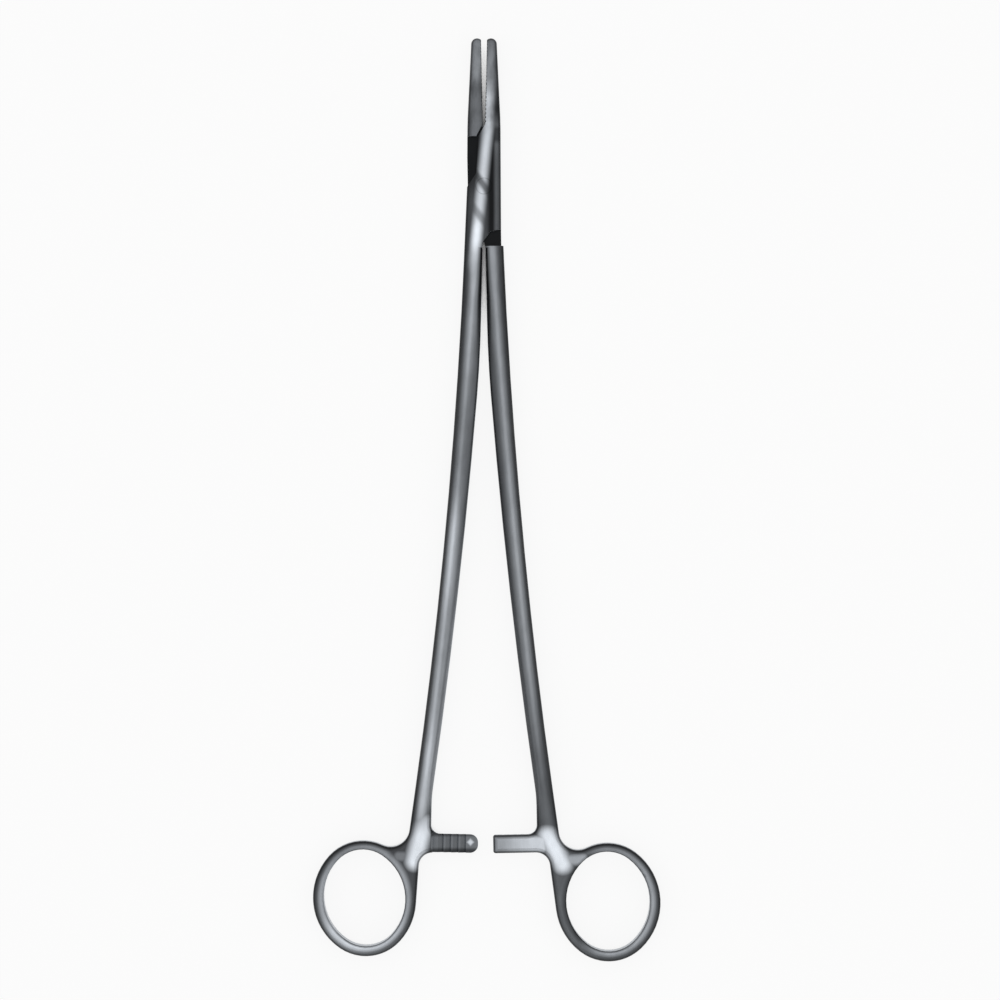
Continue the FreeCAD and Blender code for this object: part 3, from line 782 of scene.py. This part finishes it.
@dataclass
class Studio:
    """Pale table, soft light from above and the camera over the instrument."""

    table_half: float = 3.0
    table_drop: float = 0.0001
    table_colour: Colour = (0.86, 0.86, 0.86, 1.0)
    table_glow: float = 0.87
    gap_reach: float = 3.0 * MM
    gap_samples: int = 8
    gap_open: Fade = Fade(0.27, 0.5)
    room_level: float = 0.45
    room_rise: Fade = Fade(0.05, 0.3, 0.5)
    room_top: Fade = Fade(0.6, 0.9, -0.35)
    lamp_place: tuple[float, float, float] = (0.0, -0.05, 1.25)
    lamp_size: float = 1.0
    lamp_level: float = 0.6
    picture_side: float = 1000.0
    millimetres_per_pixel: float = 0.2874
    joint_pixel: Point = (484.0, 187.0)
    focal_mm: float = 100.0
    sensor_mm: float = 36.0
    focus_height: float = 4.0 * MM
    clip_near: float = 0.01

    def build(self) -> None:
        """Set up table, room, lamp and camera."""
        self.table()
        self.room()
        self.lamp()
        self.camera()
        bpy.context.scene.view_settings.view_transform = "Standard"
        log.info("studio set up")

    def table(self) -> None:
        """Lay a pale table top that reads white, except in narrow gaps of the instrument."""
        mesh = bmesh.new()
        bmesh.ops.create_grid(mesh, x_segments=1, y_segments=1, size=self.table_half)
        data = bpy.data.meshes.new("table_top")
        mesh.to_mesh(data)
        mesh.free()
        table = bpy.data.objects.new("table_top", data)
        table.location.z = -self.table_drop
        bpy.context.collection.objects.link(table)
        material = bpy.data.materials.new("pale_table")
        graph = Graph(material)
        matt = graph.node("ShaderNodeBsdfDiffuse", {}, {"Color": self.table_colour})
        glow = graph.node("ShaderNodeEmission", {}, {"Color": WHITE, "Strength": 1.0})
        samples = {"samples": self.gap_samples}
        sky = graph.node("ShaderNodeAmbientOcclusion", samples, {"Distance": self.gap_reach}, "AO")
        share = self.seen(graph) * self.gap_open.over(sky) * self.table_glow
        graph.finish(graph.mixed(matt, glow, share))
        data.materials.append(material)

    def seen(self, graph: Graph) -> Signal:
        """Tell the rays that come from the camera, from gloss or through glass.

        Args:
            graph: The material's tree.

        Returns:
            1 for those rays and 0 for the others.
        """
        path = graph.node("ShaderNodeLightPath", {}, {}).socket.node
        names = ("Is Camera Ray", "Is Glossy Ray", "Is Transmission Ray")
        camera, glossy, clear = (Signal(graph, path.outputs[name]) for name in names)
        return (camera + glossy + clear).at_most(1.0)

    def room(self) -> None:
        """Fill the room with a soft light, strongest a little above the table's level."""
        world = bpy.data.worlds.new("room")
        bpy.context.scene.world = world
        graph = Graph(world, "ShaderNodeOutputWorld")
        height = graph.split(graph.node("ShaderNodeTexCoord", {}, {}, "Generated"))[2]
        level = self.room_rise.over(height) + self.room_top.over(height) + self.room_level
        dark = graph.node("ShaderNodeBackground", {}, {"Color": BLACK, "Strength": 1.0})
        white = graph.node("ShaderNodeBackground", {}, {"Color": WHITE, "Strength": 1.0})
        graph.finish(graph.mixed(dark, white, level))

    def lamp(self) -> None:
        """Hang a square soft lamp that shines straight down."""
        data = bpy.data.lights.new("overhead", "AREA")
        data.size = self.lamp_size
        data.energy = self.lamp_level * math.pi * self.lamp_size * self.lamp_size
        lamp = bpy.data.objects.new("overhead", data)
        lamp.location = self.lamp_place
        bpy.context.collection.objects.link(lamp)

    def camera(self) -> None:
        """Look straight down, framed as in the photograph."""
        scale = self.millimetres_per_pixel * MM
        middle = self.picture_side / 2
        data = bpy.data.cameras.new("overhead_view")
        data.lens = self.focal_mm
        data.sensor_width = self.sensor_mm
        data.clip_start = self.clip_near
        height = self.picture_side * scale * self.focal_mm / self.sensor_mm + self.focus_height
        camera = bpy.data.objects.new("overhead_view", data)
        right, below = middle - self.joint_pixel[0], self.joint_pixel[1] - middle
        camera.location = (right * scale, below * scale, height)
        bpy.context.collection.objects.link(camera)
        bpy.context.scene.camera = camera


def main() -> None:
    """Dress the instrument and build its studio."""
    logging.basicConfig(level=logging.INFO, format="%(name)s: %(message)s")
    for piece in (BoxHalf(), TongueHalf(), JointPin()):
        piece.dress()
    Studio().build()


if __name__ == "__main__":
    main()
